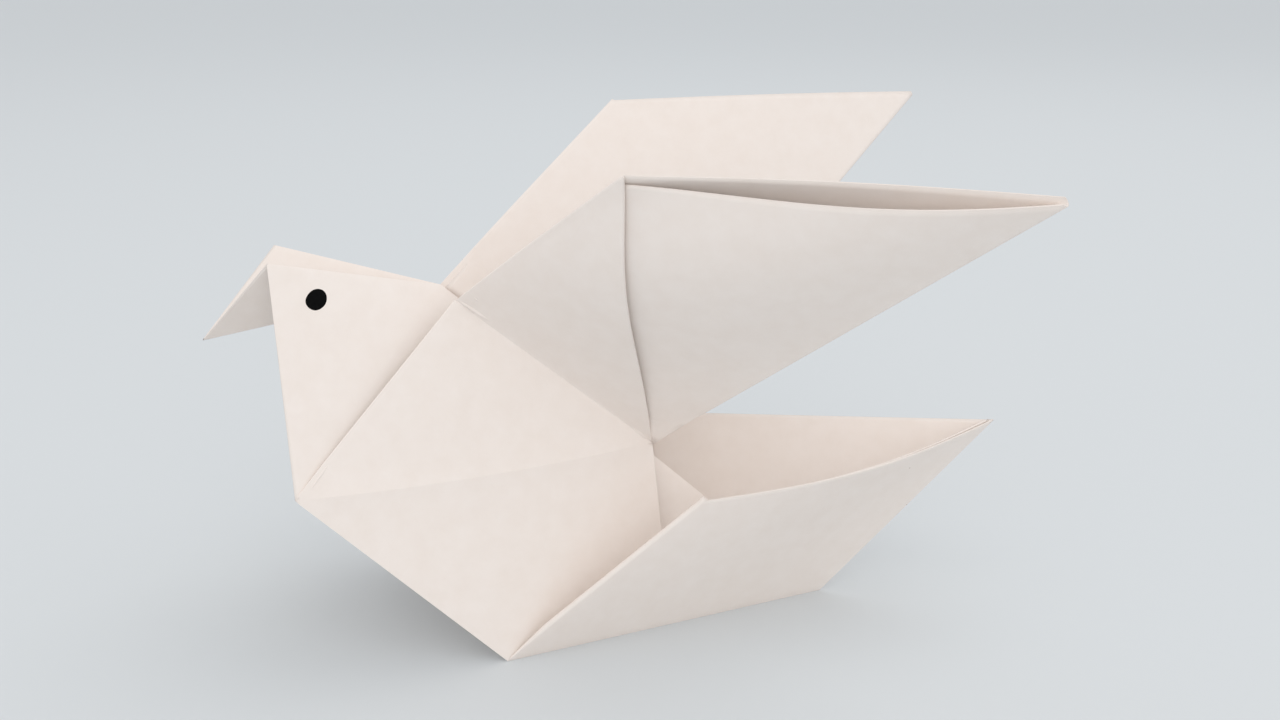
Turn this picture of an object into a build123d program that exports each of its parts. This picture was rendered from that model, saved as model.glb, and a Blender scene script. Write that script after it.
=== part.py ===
from build123d import *
import os
from math import atan2, cos, radians, sin, sqrt

# A dove folded from one square sheet of white paper.
# Millimetres and degrees. X runs from beak to tail, Y across the wings, Z up.

# The sheet.
sheet_side = 210.0
sheet_thickness = 0.2
# A pressed fold is a little thicker than one ply, and a fold of many plies thicker still.
fold_radius = 0.22
stack_fold_radius = 0.46
# Plies that lie on each other keep this much air.
ply_gap = 0.1
# How far the loose plies of a wing belly out from flat.
pocket_bow = 3.6
triangle_bow = 3.8

# How far the tucked corner of the body panel stays above the tail's floor fold.
tuck_lift = 0.8

# How far the folds have sprung open.
leg_spread_angle = 31.3
body_spring_angle = 8.7
# How far each wing is bent out from its body panel.
near_wing_angle = 57.5
far_wing_angle = 48.8

# Where the folds lie, as shares of the pleat unit, a quarter of the sheet's diagonal.
leg_share = 0.5
pleat_share = 0.5
nape_share = 0.467
heel_share = 0.519
belly_end_share = 0.51
tail_root_share = 0.988
tail_tip_share = 1.5
raw_corner_share = 1.0
head_corner_share = 0.455
beak_share = 0.5

# The wing's pocket starts above its crease and is cut a little past its open edge.
pocket_floor_share = 0.08
pocket_mouth_share = 1.05
# The front triangle stops just short of the point where its edges meet.
triangle_end_share = 0.97

unit = sheet_side * sqrt(2) / 4
spread = radians(leg_spread_angle)
spring = radians(body_spring_angle)
neck_drop = head_corner_share * sqrt(0.5)

# The reverse fold turns the tail up by mirroring the ridge in the floor.
tail_turn = 2 * atan2(leg_share * cos(spread), tail_root_share - belly_end_share)
ridge_fall = tail_turn / 2
# The beak is turned down inside the head in the same way.
beak_turn = 2 * atan2((pleat_share - neck_drop) * cos(spread), neck_drop)


def place(along, up, out, side):
    """A point given along the ridge, up from it and out to one side, in pleat units."""
    x = along * cos(ridge_fall) + up * sin(ridge_fall)
    z = up * cos(ridge_fall) - along * sin(ridge_fall)
    return Vector(x * unit, -side * out * unit, z * unit)


def leg(along, down, side):
    """A point on the ply that hangs from the ridge."""
    return place(along, -down * cos(spread), down * sin(spread), side)


def body(along, up, side):
    """A point on the panel folded up outside the leg, hinged at the belly fold."""
    rise = up * cos(spring - spread) - leg_share * cos(spread)
    out = up * sin(spring - spread) + leg_share * sin(spread)
    return place(along, rise, out, side)


def panel(*corners):
    """A flat ply of paper with these corners."""
    return extrude(make_face(Polyline(*corners, close=True)), amount=sheet_thickness / 2, both=True)


def fold(start, end, radius):
    """The rounded edge where the sheet turns over a straight crease."""
    run = end - start
    return extrude(Plane(origin=start, z_dir=run) * Circle(radius), amount=run.length)


def band(first, last, normal, inner, outer, bow):
    """The section of a ply or pocket along a line, bellied out by bow in its middle."""
    start = last + normal * outer
    end = first + normal * outer
    middle = (start + end) * 0.5 + normal * bow
    back = Spline(start, middle, end) if bow > 0 else Line(start, end)
    sides = [Line(first + normal * inner, last + normal * inner), Line(last + normal * inner, start), back,
             Line(end, first + normal * inner)]
    return make_face(Wire(sides))


def bowed_strip(first, last, normal, inner, outer, bow):
    """The section of one loose ply along its free edge, bellied out with both faces alike."""
    low = (first + last) * 0.5 + normal * (inner + bow)
    high = (first + last) * 0.5 + normal * (outer + bow)
    sides = [Spline(first + normal * inner, low, last + normal * inner),
             Line(last + normal * inner, last + normal * outer),
             Spline(last + normal * outer, high, first + normal * outer),
             Line(first + normal * outer, first + normal * inner)]
    return make_face(Wire(sides))


def wing(side, bend):
    """One wing: two base plies, closed behind and open on top, and the loose front triangle."""
    turn = radians(bend)
    root = body(0, nape_share, side)
    heel = body(pleat_share, heel_share, side)
    forward = body(1, 0, side) - body(0, 0, side)
    upward = body(0, 1, side) - body(0, 0, side)
    crease = (heel - root).normalized()
    across = (upward - crease * upward.dot(crease)).normalized()
    outward = forward.cross(upward).normalized() * side
    raised = across * cos(turn) + outward * sin(turn)
    normal = outward * cos(turn) - across * sin(turn)

    def swung(along, up):
        """A point of the flat panel, carried round with the wing when it bends at the crease."""
        flat = forward * along + upward * (up - nape_share)
        return root + crease * flat.dot(crease) + raised * flat.dot(across)

    crown = swung(0, raw_corner_share)
    tip = swung(pleat_share, raw_corner_share + pleat_share)

    def rung(share, height):
        low = root + (heel - root) * share
        high = crown + (tip - crown) * share
        return low + (high - low) * height

    skin = -sheet_thickness / 2
    pocket = sheet_thickness / 2
    mouth = pocket + ply_gap
    cover = mouth + sheet_thickness
    foot = band(root, heel, normal, skin, cover, 0)
    top = band(crown, tip, normal, skin, cover, pocket_bow)
    base = loft([foot, top], ruled=True)
    wall = 2 * sheet_thickness / (pleat_share * unit)
    floor = [rung(share, pocket_floor_share) for share in (wall, 1 - wall)]
    rim = [rung(share, pocket_mouth_share) for share in (wall, 1 - wall)]
    base -= loft([band(*floor, normal, pocket, mouth, pocket_bow * pocket_floor_share),
                  band(*rim, normal, pocket, mouth, pocket_bow * pocket_mouth_share)], ruled=True)

    inside = cover + ply_gap / 2
    outside = inside + sheet_thickness
    end = root + (heel - root) * triangle_end_share
    raw_end = swung(raw_corner_share - heel_share, heel_share)
    raw_end = crown + (raw_end - crown) * triangle_end_share
    hem = band(root, end, normal, inside, outside, 0)
    loose = bowed_strip(crown, raw_end, normal, inside, outside, triangle_bow)
    triangle = loft([hem, loose], ruled=True)
    shift = normal * sheet_thickness
    creases = [
        fold(root + shift, heel + shift, stack_fold_radius),
        fold(root + shift, crown + shift, stack_fold_radius),
    ]
    return [base, triangle, *creases]


def half(side, bend):
    """The plies on one side of the ridge."""
    breast = leg(0, leg_share, side)
    belly_end = leg(belly_end_share, leg_share, side)
    tail_root = leg(tail_root_share, 0, side)
    neck = leg(0, 0, side)
    crown = leg(-neck_drop, pleat_share - neck_drop, side)
    beak_tip = place(-beak_share * cos(beak_turn), -beak_share * sin(beak_turn), 0, side)
    turned = place(cos(tail_turn), sin(tail_turn), 0, side)
    tail_tip = tail_root + turned * (tail_tip_share - tail_root_share)
    tail_notch = belly_end + turned * (raw_corner_share - belly_end_share)
    tucked_corner = (belly_end + tail_root) * 0.5 + Vector(0, 0, tuck_lift)
    nape = body(0, nape_share, side)
    heel = body(raw_corner_share - heel_share, heel_share, side)
    plies = [
        panel(breast, belly_end, tail_root, neck, crown),
        panel(neck, crown, beak_tip),
        panel(breast, belly_end, heel, nape),
        panel(belly_end, tucked_corner, heel),
        panel(belly_end, tail_root, tail_tip, tail_notch),
        panel(belly_end, tail_notch, tucked_corner),
    ]
    creases = [
        fold(neck, crown, fold_radius),
        fold(breast, belly_end, fold_radius),
        fold(breast, nape, fold_radius),
        fold(belly_end, tail_root, fold_radius),
        fold(belly_end, tail_notch, fold_radius),
    ]
    return plies + creases + wing(side, bend)


neck = leg(0, 0, 1)
tail_root = leg(tail_root_share, 0, 1)
beak_tip = place(-beak_share * cos(beak_turn), -beak_share * sin(beak_turn), 0, 1)
tail_tip = tail_root + place(cos(tail_turn), sin(tail_turn), 0, 1) * (tail_tip_share - tail_root_share)
spine = [
    fold(neck, tail_root, fold_radius),
    fold(neck, beak_tip, fold_radius),
    fold(tail_root, tail_tip, fold_radius),
]
pieces = half(1, near_wing_angle) + half(-1, far_wing_angle) + spine
sheet = pieces[0].fuse(*pieces[1:])
box = sheet.bounding_box()
sheet = sheet.moved(Location((-box.center().X, -box.center().Y, -box.min.Z)))
print("solids", len(sheet.solids()), "valid", sheet.is_valid, "volume", sheet.volume, "size", box.size)
os.makedirs("parts", exist_ok=True)
export_step(sheet, "parts/folded_sheet.step")
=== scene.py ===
# %% [markdown]
# # An origami dove in white paper
#
# The real object is one square sheet of paper, folded into a bird and sprung open.
# It could be modelled as a solid, but paper shows its thinness, loose edges and soft folds.
# So this lesson makes curved plies, sews them along the folds, and then gives them thickness.

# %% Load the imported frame
from math import atan2, cos, degrees, pi, radians, sin, sqrt

import bmesh
import bpy
import numpy as np
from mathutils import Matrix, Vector


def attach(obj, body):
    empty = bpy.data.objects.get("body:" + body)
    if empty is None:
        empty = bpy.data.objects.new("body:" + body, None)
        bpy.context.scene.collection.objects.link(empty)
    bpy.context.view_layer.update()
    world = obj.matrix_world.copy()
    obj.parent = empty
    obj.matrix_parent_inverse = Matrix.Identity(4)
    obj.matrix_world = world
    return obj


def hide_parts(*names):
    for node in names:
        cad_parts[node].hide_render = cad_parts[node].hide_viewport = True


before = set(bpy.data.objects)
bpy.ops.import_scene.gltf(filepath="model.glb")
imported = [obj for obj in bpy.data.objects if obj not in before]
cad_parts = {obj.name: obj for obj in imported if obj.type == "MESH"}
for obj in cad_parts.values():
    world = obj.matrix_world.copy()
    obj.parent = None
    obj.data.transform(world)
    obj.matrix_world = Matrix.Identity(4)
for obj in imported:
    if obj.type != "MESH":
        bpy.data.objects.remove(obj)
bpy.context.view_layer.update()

MM = 0.001

# %% [markdown]
# ## The folds
#
# The bird is settled by where its folds lie on the sheet and how far they have sprung open.
# Its corners could be read off a mesh, but worked out from the folds they are easy to change.
# Lengths are in millimetres. Shares are of the pleat unit, a quarter of the sheet's diagonal.

# %% Sizes, shares and angles of the folds
NEAR, FAR = 1, -1
SHEET_SIDE, THICKNESS = 210.0, 0.2
UNIT = SHEET_SIDE * sqrt(2) / 4
SPREAD, SPRING = radians(31.3), radians(8.7)
WING_BEND = {NEAR: radians(57.5), FAR: radians(48.8)}
PLEAT, NAPE, HEEL, RAW_CORNER = 0.5, 0.467, 0.519, 1.0
BELLY_END, TAIL_ROOT, TAIL_TIP = 0.51, 0.988, 1.5
HEAD_CORNER = 0.455
BROW_DROP = HEAD_CORNER * sqrt(0.5)
TAIL_TURN = 2 * atan2(PLEAT * cos(SPREAD), TAIL_ROOT - BELLY_END)
RIDGE_FALL = TAIL_TURN / 2
BEAK_TURN = 2 * atan2((PLEAT - BROW_DROP) * cos(SPREAD), BROW_DROP)
NECK_AT = np.array([-23.18, 4.72, 49.10])
print("pleat unit", round(UNIT, 2), "mm, ridge falls", round(degrees(RIDGE_FALL), 1), "degrees")


# %% [markdown]
# ## The corners
#
# `place` takes a point along the ridge, up from it and out to one side into the frame.
# The leg ply hangs from the ridge, the body panel folds up outside it, and the wing bends out
# at its crease. The two sides share their folds, apart from how far each wing is bent.

# %% Points on the leg and the body panel
def place(along, up, out, side):
    x = along * cos(RIDGE_FALL) + up * sin(RIDGE_FALL)
    z = up * cos(RIDGE_FALL) - along * sin(RIDGE_FALL)
    return np.array([x, -side * out, z]) * UNIT


def leg(along, down, side):
    return place(along, -down * cos(SPREAD), down * sin(SPREAD), side)


def body(along, up, side):
    lean = SPRING - SPREAD
    rise = up * cos(lean) - PLEAT * cos(SPREAD)
    out = up * sin(lean) + PLEAT * sin(SPREAD)
    return place(along, rise, out, side)


def unit(v):
    return v / np.linalg.norm(v)


def square_to(v, line):
    return unit(v - line * v.dot(line))


print("near breast, as folded exactly", np.round(leg(0, PLEAT, NEAR) + NECK_AT, 1), "mm")


# %% Corners of one side, as the folds give them
def fold_corners(side):
    turned = place(cos(TAIL_TURN), sin(TAIL_TURN), 0, side)
    c = {
        "neck": leg(0, 0, side),
        "breast": leg(0, PLEAT, side),
        "belly": leg(BELLY_END, PLEAT, side),
        "root": leg(TAIL_ROOT, 0, side),
        "brow": leg(-BROW_DROP, PLEAT - BROW_DROP, side),
        "beak": place(-PLEAT * cos(BEAK_TURN), -PLEAT * sin(BEAK_TURN), 0, side),
        "nape": body(0, NAPE, side),
        "heel": body(PLEAT, HEEL, side),
        "raw": body(RAW_CORNER - HEEL, HEEL, side),
    }
    c["tail"] = c["root"] + turned * (TAIL_TIP - TAIL_ROOT)
    c["notch"] = c["belly"] + turned * (RAW_CORNER - BELLY_END)
    ahead = body(1, 0, side) - body(0, 0, side)
    upward = body(0, 1, side) - body(0, 0, side)
    crease = unit(c["heel"] - c["nape"])
    across = square_to(upward, crease)
    outward = unit(np.cross(ahead, upward)) * side
    raised = across * cos(WING_BEND[side]) + outward * sin(WING_BEND[side])
    for name, along, up in (("crown", 0, RAW_CORNER), ("tip", PLEAT, RAW_CORNER + PLEAT)):
        flat = ahead * along + upward * (up - NAPE)
        c[name] = c["nape"] + crease * flat.dot(crease) + raised * flat.dot(across)
    return {name: point + NECK_AT for name, point in c.items()}


print("corners on each side:", len(fold_corners(NEAR)))

# %% [markdown]
# A bird folded by hand is never exact, so its corners are nudged along X and Z to where they are.
# Most move by less than 2 mm. The far side's hidden notch and nape move by about 3 mm.
# Each side's corners then tell which way its plies face.

# %% Corners as folded by hand
HAND = {
    "neck": (-1.8, 1.9), "breast": (-0.6, 0.3), "belly": (-0.45, -0.11), "root": (1.3, -0.11),
    "tail": (-0.7, 2.3), "notch": (0.9, -0.65), "nape": (0.35, 0.8), "beak": (0.25, 0.2),
}
HAND_SIDE = {
    NEAR: {"brow": (0.0, -0.45), "crown": (-0.4, -1.3), "tip": (0.1, 0.5),
           "raw": (-0.45, -0.8), "heel": (-1.35, 0.0)},
    FAR: {"brow": (-1.1, -0.7), "crown": (0.1, -0.2), "tip": (0.0, -0.35),
          "raw": (-1.6, 0.0), "heel": (-2.5, 0.6), "notch": (-3.5, -0.3), "nape": (-2.95, -0.3)},
}
TUCK_LIFT = 0.8


def corners(side):
    c = fold_corners(side)
    for name, (x, z) in {**HAND, **HAND_SIDE[side]}.items():
        c[name] = c[name] + np.array([x, 0, z])
    c["tuck"] = (c["belly"] + c["root"]) / 2 + np.array([0, 0, TUCK_LIFT])
    for name, at, first, second in (("body_out", "breast", "belly", "nape"),
                                    ("wing_out", "nape", "heel", "crown"),
                                    ("head_out", "brow", "breast", "neck"),
                                    ("tail_out", "belly", "root", "notch")):
        c[name] = unit(np.cross(c[first] - c[at], c[second] - c[at])) * side
    return c


near, far = corners(NEAR), corners(FAR)
for name in ("crown", "tip", "tail", "beak"):
    print("near", name, np.round(near[name], 1))

# %% [markdown]
# ## The plies
#
# A ply is the paper between two or more folds, and it is hardly ever flat: loose edges belly out.
# A flat face could not show that, so each ply is a grid between four corners, or between three
# with the last given twice. `swell` moves its points off flat. Along a fold that two plies share
# it is nothing, or the same for both, so that they meet there point to point.
# The 16 in `dome`, like the 27/4 for the throat, makes its highest point the height given.

# %% A grid between corners
COUNT = 46
STEPS = np.linspace(0, 1, COUNT + 1)
S, T = np.meshgrid(STEPS, STEPS, indexing="ij")


def ply(names, c, out=None, swell=None, s=S, t=T):
    weights = ((1 - s) * (1 - t), s * (1 - t), s * t, (1 - s) * t)
    grid = sum(w[..., None] * c[name] for w, name in zip(weights, names))
    return grid if swell is None else grid + swell[..., None] * out


def ease(rate, share):
    return np.minimum(1, rate * share)


def dome(height, s=S, t=T):
    return 16 * height * s * (1 - s) * t * (1 - t)


print("points in each ply:", S.size)

# %% [markdown]
# The beak and leg plies are close to flat, and the head swells a little, most at the throat.
# The body panel keeps the faint ridge of a fold that was pressed and opened again.
# The tail's flaps bow out along their rims, more on the near side.

# %% Head, body and tail plies
HEAD_SWELL, THROAT_SWELL = 0.3, 1.1
BODY_SWELL = 0.3
OLD_CREASE, OLD_CREASE_REACH, OLD_CREASE_FADE = 0.5, 0.12, 12
RIM_BOW, RIM_CURL = {NEAR: 2.6, FAR: 0.8}, 1.5
GUNWALE_GAP, GUNWALE_EASE = {NEAR: 0.75, FAR: 0.3}, 5
TAIL = ("belly", "root", "tail", "notch")


def throat_swell(down, away):
    return THROAT_SWELL * 27 / 4 * (1 - down)**2 * down * (1 - away)**3


def head_swell(down, ahead):
    return dome(HEAD_SWELL, down, ahead) + throat_swell(down, ahead)


def old_crease():
    fade = ease(OLD_CREASE_FADE, S * (1 - S)) * ease(OLD_CREASE_FADE, T * (1 - T))
    return OLD_CREASE * np.exp(-np.abs(S - T) / OLD_CREASE_REACH) * fade


def rim_bow(s, t, side):
    return RIM_BOW[side] * np.sin(pi * s) * t**RIM_CURL


def body_plies(c, side):
    panel = dome(BODY_SWELL) + old_crease()
    tucked = -GUNWALE_GAP[side] * ease(GUNWALE_EASE, S) * (1 - T)
    return {
        "leg": ply(("neck", "root", "belly", "breast"), c, c["head_out"], throat_swell(T, S)),
        "head": ply(("neck", "breast", "brow", "brow"), c, c["head_out"], head_swell(S, T)),
        "beak": ply(("neck", "brow", "beak", "beak"), c),
        "body": ply(("breast", "belly", "raw", "nape"), c, c["body_out"], panel),
        "corner": ply(("belly", "tuck", "raw", "raw"), c),
        "tail": ply(TAIL, c, c["tail_out"], rim_bow(S, T, side)),
        "gusset": ply(("belly", "notch", "tuck", "tuck"), c, c["tail_out"], tucked),
    }


print("old crease stands up by", round(old_crease().max(), 2), "mm")

# %% [markdown]
# The tail's flap is two plies thick. On the near side the inner one stands off along the rim.
# Only the part beyond the tucked corner can be seen, so it is a ply of its own that starts there.
# Its foot and top are each given as a start and an end along the flap, and a height.

# %% Inner ply of the tail
LINING_FOOT, LINING_TOP = (0.54, 0.965, 0.05), (0.28, 0.985, 0.985)
LINING_GAP, LINING_STAND_OFF, LINING_RISE = 0.26, 0.2, 0.016


def tail_lining(c, side):
    (foot_start, foot_end, foot), (top_start, top_end, top) = LINING_FOOT, LINING_TOP
    start = foot_start + (top_start - foot_start) * T
    end = foot_end + (top_end - foot_end) * T
    s = start + (end - start) * S
    t = foot + (top + LINING_RISE * S - foot) * T
    inside = LINING_GAP + LINING_STAND_OFF * S * T
    return ply(TAIL, c, c["tail_out"], rim_bow(s, t, side) - inside, s, t)


print("inner ply stands off by up to", LINING_GAP + LINING_STAND_OFF, "mm")

# %% [markdown]
# A wing has three plies. The outer and inner one are joined behind and open on top like a pocket.
# The pocket bellies out, and the front triangle, which runs on from the body panel, follows it
# with its raw edge lifted. The outer ply starts a little inside the triangle, out of sight.

# %% Wing plies
POCKET_BOW, POCKET_SKEW = {NEAR: 2.4, FAR: 2.0}, 1.35
BELLY_BOW, BELLY_SKEW, BELLY_HEIGHT = {NEAR: 2.9, FAR: 2.0}, 0.75, 1.3
EDGE_LIFT, EDGE_ROUND = 0.25, 0.8
RAW_ALONG, TRAILING_RISE = 0.962, 0.81
INNER_BOW, INNER_BACK, INNER_EASE = 0.8, 0.5, 2
OUTER_BACK, TIP_SPREAD = 0.22, 0.9
INSET, CROWN_SINK, CROWN_TUCK = 0.02, 0.02, 0.008
WING = ("nape", "heel", "tip", "crown")


def pocket_swell(along, height, side):
    mouth = POCKET_BOW[side] * np.sin(pi * along**POCKET_SKEW) * height
    belly = BELLY_BOW[side] * np.sin(pi * along**BELLY_SKEW) * np.sin(pi * height**BELLY_HEIGHT)
    return mouth + belly


def wing_plies(c, side):
    out, nape, crown = c["wing_out"], c["nape"], c["crown"]
    height = S * (1 - T) / (1 + TRAILING_RISE * T)
    lifted = EDGE_LIFT * np.sin(pi * T)**EDGE_ROUND * S**2
    front = pocket_swell(RAW_ALONG * T, height, side) + lifted
    outer = pocket_swell(S, T, side) - OUTER_BACK * (1 - S * T)
    behind = INNER_BACK * np.sin(pi / 2 * ease(INNER_EASE, T)) + TIP_SPREAD * S * T**2
    inner = -INNER_BOW * np.sin(pi * S) * T - behind
    covered = {**c, "nape": nape + INSET * (crown - nape) + INSET * (c["heel"] - nape),
               "crown": crown + CROWN_SINK * (c["raw"] - crown) + CROWN_TUCK * (nape - crown)}
    return {
        "front": ply(("nape", "crown", "raw", "raw"), c, out, front),
        "outer": ply(WING, covered, out, outer),
        "inner": ply(WING, c, out, inner),
    }


print("near pocket bellies out by up to", round(pocket_swell(S, T, NEAR).max(), 1), "mm")

# %% [markdown]
# Where two plies lie close together, the paper turns over in a narrow half-round bend.
# A sharp edge would look like sheet metal, so `bend_over` joins two edges by a strip bent round
# a half circle. The body panel's front edge turns in the same way, to a narrow strip inside.

# %% Half-round bends between stacked plies
BEND_STEPS = 9
ARC = np.linspace(0, pi, BEND_STEPS)[:, None, None]
LIP_GAP, LIP_WIDTH, LIP_EASE = 0.25, 2.5, 6


def bend_over(first, last, outward):
    half = (first - last) / 2
    bulge = np.linalg.norm(half, axis=1)[None, :, None]
    middle = (first + last)[None] / 2
    return middle + np.cos(ARC) * half[None] + np.sin(ARC) * bulge * outward


def bends(c, grids):
    leading = square_to(c["heel"] - c["nape"], unit(c["crown"] - c["nape"]))
    trailing = square_to(c["nape"] - c["heel"], unit(c["tip"] - c["heel"]))
    gunwale = square_to(c["root"] - c["belly"], unit(c["notch"] - c["belly"]))
    inward = square_to(c["belly"] - c["breast"], unit(c["nape"] - c["breast"]))
    opening = ease(LIP_EASE, STEPS[:, None])
    lip = grids["body"][0] - c["body_out"] * LIP_GAP * opening
    return [
        bend_over(grids["front"][:, 0], grids["inner"][0], -leading),
        bend_over(grids["outer"][-1], grids["inner"][-1], -trailing),
        bend_over(grids["tail"][0], grids["gusset"][:, 0], -gunwale),
        bend_over(grids["body"][0], lip, -inward),
        np.stack([lip, lip + inward * LIP_WIDTH * opening]),
    ]


print("points round each bend:", BEND_STEPS)

# %% [markdown]
# ## One sheet
#
# The grids go into one mesh, and points that coincide along a fold are merged into one sheet.
# The wing's crease is only softly bent, so its points are smoothed into a round valley.
# The old crease runs from corner to corner of the body panel's squares, so those are split there.

# %% Sew the plies together
MERGE, SLIVER = 0.015, 0.001
CREASE_REACH, CREASE_SOFTNESS = 0.75, 0.5


def add_grid(bm, grid, creased=False):
    rows = [[bm.verts.new(Vector(p) * MM) for p in row] for row in grid]
    for i, (low, high) in enumerate(zip(rows, rows[1:])):
        for j in range(len(low) - 1):
            if creased and i == j:
                bm.faces.new((low[j], high[j], high[j + 1]))
                bm.faces.new((low[j], high[j + 1], low[j + 1]))
                bm.edges.get((low[j], high[j + 1])).seam = True
            else:
                bm.faces.new((low[j], high[j], high[j + 1], low[j + 1]))


def near_line(point, start, end, reach):
    line = Vector(end - start)
    share = min(1, max(0, (point - Vector(start)).dot(line) / line.length_squared))
    return (point - Vector(start) - line * share).length < reach


sheet_bm = bmesh.new()
for side, c in ((NEAR, near), (FAR, far)):
    grids = {**body_plies(c, side), **wing_plies(c, side)}
    for name, grid in grids.items():
        add_grid(sheet_bm, grid, creased=name == "body")
    for strip in bends(c, grids):
        add_grid(sheet_bm, strip)
add_grid(sheet_bm, tail_lining(near, NEAR))
loose_points = len(sheet_bm.verts)
bmesh.ops.remove_doubles(sheet_bm, verts=sheet_bm.verts, dist=MERGE * MM)
bmesh.ops.dissolve_degenerate(sheet_bm, edges=sheet_bm.edges, dist=SLIVER * MM)
for c in (near, far):
    valley = [v for v in sheet_bm.verts if not v.is_boundary
              and near_line(v.co / MM, c["nape"], c["raw"], CREASE_REACH)]
    bmesh.ops.smooth_vert(sheet_bm, verts=valley, factor=CREASE_SOFTNESS,
                          use_axis_x=True, use_axis_y=True, use_axis_z=True)
bmesh.ops.recalc_face_normals(sheet_bm, faces=sheet_bm.faces)
over_shared = sum(len(e.link_faces) > 2 for e in sheet_bm.edges)
print("sheet:", loose_points, "points merged to", len(sheet_bm.verts))
print("edges shared by over two plies:", over_shared)


# %% [markdown]
# The mesh becomes an object that stands for the CAD solid and rides on the one body.
# Edges bent by more than a soft curve stay sharp, and so does the old crease, marked as a seam.
# A solidify modifier gives the paper its thickness, quicker than building each ply twice.

# %% The sheet as an object
SHARP_ANGLE = radians(28)


def make_object(name, bm, sharp=SHARP_ANGLE):
    mesh = bpy.data.meshes.new(name)
    bm.to_mesh(mesh)
    bm.free()
    mesh.shade_smooth()
    mesh.set_sharp_from_angle(angle=sharp)
    for edge in mesh.edges:
        edge.use_edge_sharp = edge.use_edge_sharp or edge.use_seam
    piece = bpy.data.objects.new(name, mesh)
    bpy.context.scene.collection.objects.link(piece)
    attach(piece, "root")
    return piece


sheet = make_object("folded_paper", sheet_bm)
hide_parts("folded_sheet")
thick = sheet.modifiers.new("thickness", "SOLIDIFY")
thick.thickness = THICKNESS * MM
thick.offset = 0
thick.use_even_offset = False
print("folded_paper:", len(sheet.data.polygons), "faces before its thickness is added")


# %% [markdown]
# ## Pinched creases
#
# Where many folds meet, the paper was crushed a little: at the wing's root and heel and low on
# the breast, and once on the old crease. The grid is too coarse for these, so each is a small
# closed lens laid on the paper, rounded on top and steeper on one side.

# %% The form of a pinch
PINCH_STEPS, PINCH_ROWS = 25, 9
PINCH_TAPER, PINCH_LEAN, PINCH_ROUND, PINCH_DEPTH = 0.7, 0.25, 1.5, 0.12


def pinch(bm, start, end, out, width, height):
    across = np.cross(out, unit(end - start)) * width / 2
    top, low = [], []
    for u in np.linspace(0, 1, PINCH_STEPS):
        swell = sin(pi * u)**PINCH_TAPER
        line = [(start + (end - start) * u + across * v * swell, abs(v - PINCH_LEAN * (1 - v * v)))
                for v in np.linspace(-1, 1, PINCH_ROWS)]
        top.append([p + out * max(height * swell * (1 - off**PINCH_ROUND), 0) for p, off in line])
        low.append([p - out * PINCH_DEPTH for p, off in line])
    add_grid(bm, np.array(top))
    add_grid(bm, np.array(low))
    for k in (0, -1):
        add_grid(bm, np.array([[row[k] for row in top], [row[k] for row in low]]))


print("points on each pinch's top:", PINCH_STEPS * PINCH_ROWS)

# %% [markdown]
# The list gives each pinch its start and end, the way its ply faces, its width and its height.

# %% Small pinches in the paper
PINCH_MERGE, PINCH_SHARP_ANGLE = 0.002, radians(60)
EDGE_PINCH_RISE = 3.0


def on_panel(c, s, t):
    low = c["breast"] + (c["belly"] - c["breast"]) * s
    high = c["nape"] + (c["raw"] - c["nape"]) * s
    return low + (high - low) * t + c["body_out"] * THICKNESS / 2


def pinch_list(c):
    crease, leading = unit(c["raw"] - c["nape"]), unit(c["crown"] - c["nape"])
    rise = square_to(c["crown"] - c["nape"], crease)
    root = c["nape"] + c["wing_out"] * THICKNESS / 2
    heel = c["raw"] + c["body_out"] * THICKNESS / 2
    edge = root + leading * EDGE_PINCH_RISE
    return [
        (root + crease * 0.3 + rise * 0.5, root + crease * 5.6 + rise * 0.9, "wing_out", 0.8, 0.28),
        (heel - crease * 4.2, heel - crease * 0.4, "body_out", 0.6, 0.34),
        (edge + crease * 0.9, edge + crease * 2.4, "wing_out", 0.5, 0.2),
        (on_panel(c, 0.02, 0.05), on_panel(c, 0.012, 0.19), "body_out", 0.5, 0.16),
        (on_panel(c, 0.535, 0.525), on_panel(c, 0.565, 0.575), "body_out", 0.4, 0.14),
    ]


pinch_bm = bmesh.new()
for c in (near, far):
    for start, end, out, width, height in pinch_list(c):
        pinch(pinch_bm, start, end, c[out], width, height)
bmesh.ops.remove_doubles(pinch_bm, verts=pinch_bm.verts, dist=PINCH_MERGE * MM)
bmesh.ops.recalc_face_normals(pinch_bm, faces=pinch_bm.faces)
pinches = make_object("pinched_creases", pinch_bm, PINCH_SHARP_ANGLE)
print("pinched_creases:", len(pinches.data.polygons), "faces")

# %% [markdown]
# ## The eyes
#
# Each side of the head has a dot of black ink. It could be painted in the paper's material,
# but a thin skin of its own keeps its edge crisp at any size.
# It is a little oval and its outline wavers, as a felt pen's dot does.

# %% Ink dots
EYE_BREAST, EYE_BROW, EYE_RADIUS = 0.1316, 0.6172, 1.5
EYE_OVAL, EYE_TILT = 0.097, radians(55.5)
WAVERS = ((0.012, 3, 1), (0.008, 5, 0))
EYE_LIFT = THICKNESS / 2 + 0.01
RINGS = ((1.0, -0.08), (1.0, 0.0), (0.96, 0.02), (0.6, 0.025), (0.25, 0.025))
EYE_STEPS = 64
ROUND = np.linspace(0, 2 * pi, EYE_STEPS, endpoint=False)


def on_head(c, flat):
    sides = np.column_stack([c["breast"] - c["neck"], c["brow"] - c["neck"]])
    low, ahead = np.linalg.lstsq(sides, flat - c["neck"], rcond=None)[0]
    return flat + c["head_out"] * head_swell(low / (1 - ahead), ahead)


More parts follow.
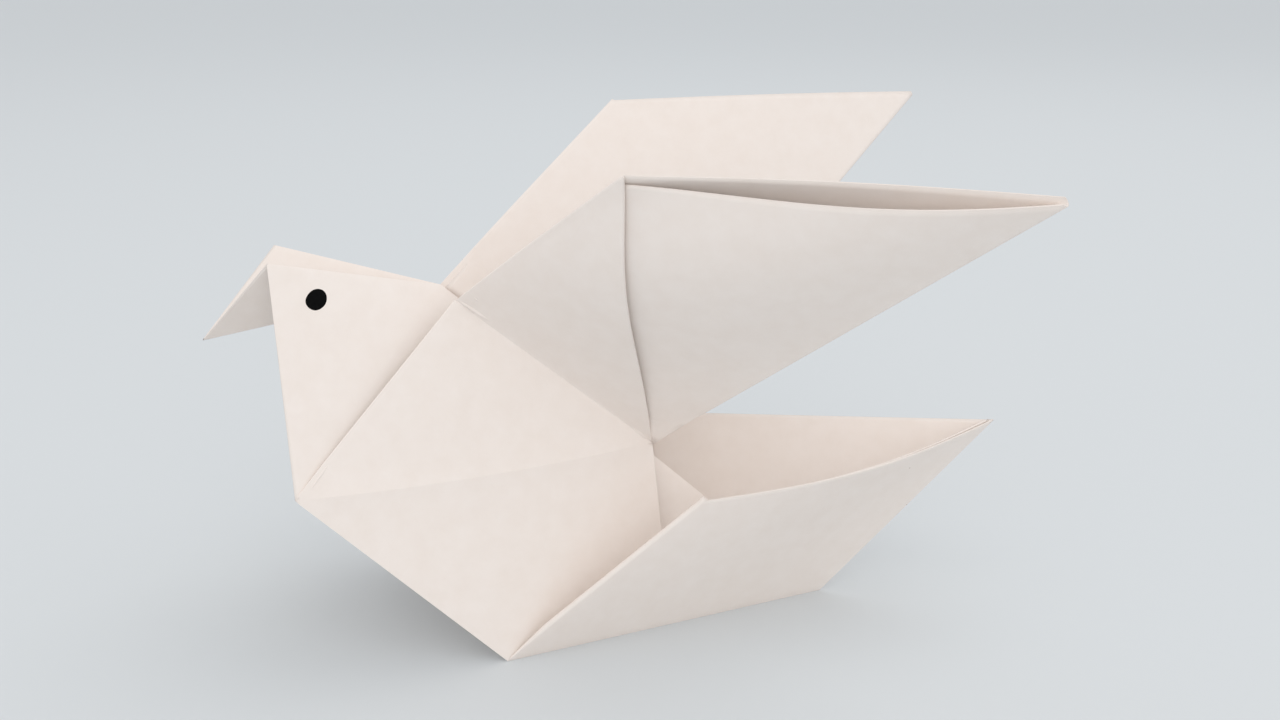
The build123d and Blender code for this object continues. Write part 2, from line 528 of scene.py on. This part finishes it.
def eye(name, c):
    neck, out = c["neck"], c["head_out"]
    centre = neck + (c["breast"] - neck) * EYE_BREAST + (c["brow"] - neck) * EYE_BROW
    ahead = square_to(c["brow"] - neck, out)
    down = np.cross(out, ahead)
    waver = sum(depth * np.sin(times * ROUND + start) for depth, times, start in WAVERS)
    radius = EYE_RADIUS * (1 + EYE_OVAL * np.cos(2 * (ROUND - EYE_TILT)) + waver)
    spokes = [(ahead * cos(a) + down * sin(a)) * r for a, r in zip(ROUND, radius)]
    bm = bmesh.new()
    rings = []
    for share, height in RINGS:
        points = [on_head(c, centre + s * share) + out * (EYE_LIFT + height) for s in spokes]
        rings.append([bm.verts.new(Vector(p) * MM) for p in points])
    for low, high in zip(rings, rings[1:]):
        for k in range(EYE_STEPS):
            bm.faces.new((low[k - 1], low[k], high[k], high[k - 1]))
    bm.faces.new(rings[-1])
    bm.faces.new(rings[0])
    bmesh.ops.recalc_face_normals(bm, faces=bm.faces)
    return make_object(name, bm)


eyes = [eye("near_eye_ink", near), eye("far_eye_ink", far)]
print("eye dots about", 2 * EYE_RADIUS, "mm across")


# %% [markdown]
# ## Materials
#
# Colours are written as sRGB hex, as a paint program shows them, and one function makes them
# linear. `add` puts a node in a material, with its settings and links, so that each material
# reads as a short list. `noise` and `ramp` use it for what comes up often.

# %% Colour and node helpers
def linear(code):
    parts = [int(code[i:i + 2], 16) / 255 for i in (1, 3, 5)]
    return (*[p / 12.92 if p <= 0.04045 else ((p + 0.055) / 1.055) ** 2.4 for p in parts], 1.0)


def add(tree, kind, links=None, **values):
    node = tree.nodes.new(kind)
    for key, value in values.items():
        if hasattr(node, key):
            setattr(node, key, value)
        else:
            node.inputs[key.replace("_", " ")].default_value = value
    for socket, source in (links or {}).items():
        tree.links.new(source, node.inputs[socket])
    return node


def noise(tree, where, size, **values):
    node = add(tree, "ShaderNodeTexNoise", {"Vector": where}, Scale=1 / (size * MM), **values)
    return node.outputs["Fac"]


def ramp(tree, source, *stops):
    node = add(tree, "ShaderNodeValToRGB", {"Fac": source})
    for element, (position, colour) in zip(node.color_ramp.elements, stops):
        element.position = position
        element.color = linear(colour)
    return node.outputs["Color"]


def blank(name):
    made = bpy.data.materials.new(name)
    made.use_nodes = True
    made.node_tree.nodes.clear()
    return made


print("mid grey #808080 is", round(linear("#808080")[0], 3), "in linear values")

# %% [markdown]
# The sheet is uncoated white wood-free paper, pressed from pulp and left without a gloss.
# To the eye it is a warm white with faint clouds where the pulp lies thicker, a fine tooth and
# a rare dark fleck. The sizes are in millimetres. The tooth is a little coarser than real fibres
# so that it shows, and the slow cockle is the paper's slight waviness.

# %% Uncoated white paper
CLOUD, FLECK_SPACING, COCKLE, TOOTH = 3.0, 8.0, 14.0, 0.35
COCKLE_DEPTH, TOOTH_DEPTH = 0.3, 0.03
paper = blank("uncoated_white_paper")
tree = paper.node_tree
where = add(tree, "ShaderNodeTexCoord").outputs["Object"]
clouds = noise(tree, where, CLOUD, Detail=6.0, Roughness=0.6)
cloud_tint = ramp(tree, clouds, (0.3, "#EEE5DE"), (0.7, "#F1E9E3"))
flecks = add(tree, "ShaderNodeTexVoronoi", {"Vector": where}, Scale=1 / (FLECK_SPACING * MM))
fleck_tint = ramp(tree, flecks.outputs["Distance"], (0.009, "#BDB3AA"), (0.018, "#FFFFFF"))
colour = add(tree, "ShaderNodeMixRGB", {"Color1": cloud_tint, "Color2": fleck_tint},
             blend_type="MULTIPLY", Fac=1.0)
cockle = noise(tree, where, COCKLE, Detail=2.0)
waves = add(tree, "ShaderNodeBump", {"Height": cockle}, Strength=0.2, Distance=COCKLE_DEPTH * MM)
tooth = noise(tree, where, TOOTH, Detail=3.0, Roughness=0.7)
grain = add(tree, "ShaderNodeBump", {"Height": tooth, "Normal": waves.outputs["Normal"]},
            Strength=0.3, Distance=TOOTH_DEPTH * MM)
rough = add(tree, "ShaderNodeMapRange", {"Value": tooth}, To_Min=0.82, To_Max=0.95)
skin = add(tree, "ShaderNodeBsdfPrincipled",
           {"Base Color": colour.outputs["Color"], "Normal": grain.outputs["Normal"],
            "Roughness": rough.outputs["Result"]}, Specular_IOR_Level=0.25, IOR=1.5)
add(tree, "ShaderNodeOutputMaterial", {"Surface": skin.outputs["BSDF"]})
for piece in (sheet, pinches):
    piece.data.materials.append(paper)
print("material", paper.name, "with", len(tree.nodes), "nodes")

# %% [markdown]
# The eyes are felt-pen ink that soaked into the paper: a dull black, a shade lighter in places.

# %% Black felt-pen ink
SOAK = 0.5
ink = blank("black_felt_pen_ink")
tree = ink.node_tree
where = add(tree, "ShaderNodeTexCoord").outputs["Object"]
soak = noise(tree, where, SOAK, Detail=4.0)
colour = ramp(tree, soak, (0.3, "#040404"), (0.7, "#0A0A0B"))
skin = add(tree, "ShaderNodeBsdfPrincipled", {"Base Color": colour},
           Roughness=0.8, Specular_IOR_Level=0.1)
add(tree, "ShaderNodeOutputMaterial", {"Surface": skin.outputs["BSDF"]})
for dot in eyes:
    dot.data.materials.append(ink)
print("material", ink.name, "with", len(tree.nodes), "nodes")

# %% [markdown]
# ## Floor, light and camera
#
# White paper shows its shape only by its shading, so the light is soft and even, and the floor
# is a cool pale grey. It runs far back, so that no edge of it is in view.

# %% Floor
FLOOR_SIZE, FLOOR_GREY = 30.0, "#D8DDE0"
bpy.ops.mesh.primitive_plane_add(size=FLOOR_SIZE)
floor = bpy.context.object
floor.name = "floor"
matte = blank("pale_grey_floor")
tree = matte.node_tree
skin = add(tree, "ShaderNodeBsdfPrincipled", Base_Color=linear(FLOOR_GREY),
           Roughness=0.9, Specular_IOR_Level=0.1)
add(tree, "ShaderNodeOutputMaterial", {"Surface": skin.outputs["BSDF"]})
floor.data.materials.append(matte)
print("floor", FLOOR_SIZE, "m wide, in", FLOOR_GREY)


# %% [markdown]
# Two large lamps above give the paper its soft shading.
# A third comes from the front, so that the folds which face the viewer don't go dark.
# Low down, an area lamp would light a patch of floor, so this one is a sun, wide and weak,
# which lights all of it alike. Each lamp has its place in metres, its power, colour and breadth.

# %% Lamps
HEART = Vector((0, 0, 0.03))
FRONT_AT, FRONT_POWER, FRONT_WHITE = (0.05, -0.60, 0.24), 0.42, "#FFF9F4"


def lamp(name, kind, stands, power, colour, **values):
    light = bpy.data.lights.new(name, kind)
    light.energy = power
    light.color = linear(colour)[:3]
    for key, value in values.items():
        setattr(light, key, value)
    holder = bpy.data.objects.new(name, light)
    holder.location = stands
    holder.rotation_euler = (HEART - Vector(stands)).to_track_quat("-Z", "Y").to_euler()
    bpy.context.scene.collection.objects.link(holder)


lamp("key", "AREA", (-0.10, -0.52, 0.68), 0.95, "#FFFAF6", size=0.7)
lamp("top", "AREA", (0.25, 0.35, 0.80), 0.9, "#FFFCF8", size=0.8)
lamp("front", "SUN", FRONT_AT, FRONT_POWER, FRONT_WHITE, angle=radians(50))
print("lamps look at", [round(x, 3) for x in HEART], "m")

# %% [markdown]
# The sky lights everything evenly. Seen directly it would end the floor in a hard line.
# So what looks straight at it, or by a mirror or glass, sees the tone that the floor has far off.

# %% Sky
SKY_WHITE, SKY_STRENGTH = "#F4F4F5", 0.89
front_rise = (Vector(FRONT_AT) - HEART).normalized().z
shades = zip(linear(FLOOR_GREY)[:3], linear(SKY_WHITE), linear(FRONT_WHITE))
far_tone = [grey * (sky * SKY_STRENGTH + front * FRONT_POWER * front_rise / pi)
            for grey, sky, front in shades]
world = bpy.data.worlds.new("studio")
bpy.context.scene.world = world
world.use_nodes = True
tree = world.node_tree
tree.nodes.clear()
light = add(tree, "ShaderNodeBackground", Color=linear(SKY_WHITE), Strength=SKY_STRENGTH)
view = add(tree, "ShaderNodeBackground", Color=(*far_tone, 1.0))
rays = add(tree, "ShaderNodeLightPath").outputs
mirrored = add(tree, "ShaderNodeMath", operation="MAXIMUM",
               links={0: rays["Is Glossy Ray"], 1: rays["Is Transmission Ray"]})
looked_at = add(tree, "ShaderNodeMath", operation="MAXIMUM",
                links={0: rays["Is Camera Ray"], 1: mirrored.outputs[0]})
sky = add(tree, "ShaderNodeMixShader",
          {0: looked_at.outputs[0], 1: light.outputs[0], 2: view.outputs[0]})
add(tree, "ShaderNodeOutputWorld", {"Surface": sky.outputs[0]})
print("sky strength", SKY_STRENGTH, "tone behind the floor", [round(x, 2) for x in far_tone])

# %% [markdown]
# The camera stands where the photograph was taken from, found by matching the fold corners to it.

# %% Camera
CAMERA_AT = (-0.01373, -0.20320, 0.10103)
TURN, DIP = radians(4.913), radians(16.583)
LENS, SENSOR, CLIP_START = 40.87, 36.0, 0.005
camera = bpy.data.objects.new("camera", bpy.data.cameras.new("camera"))
camera.data.lens = LENS
camera.data.sensor_width = SENSOR
camera.data.clip_start = CLIP_START
camera.location = CAMERA_AT
look = Vector((sin(TURN) * cos(DIP), cos(TURN) * cos(DIP), -sin(DIP)))
camera.rotation_euler = look.to_track_quat("-Z", "Y").to_euler()
bpy.context.scene.collection.objects.link(camera)
bpy.context.scene.camera = camera
bpy.context.scene.view_settings.view_transform = "Standard"
print("camera has a lens of", LENS, "mm and dips by", round(degrees(DIP), 1), "degrees")
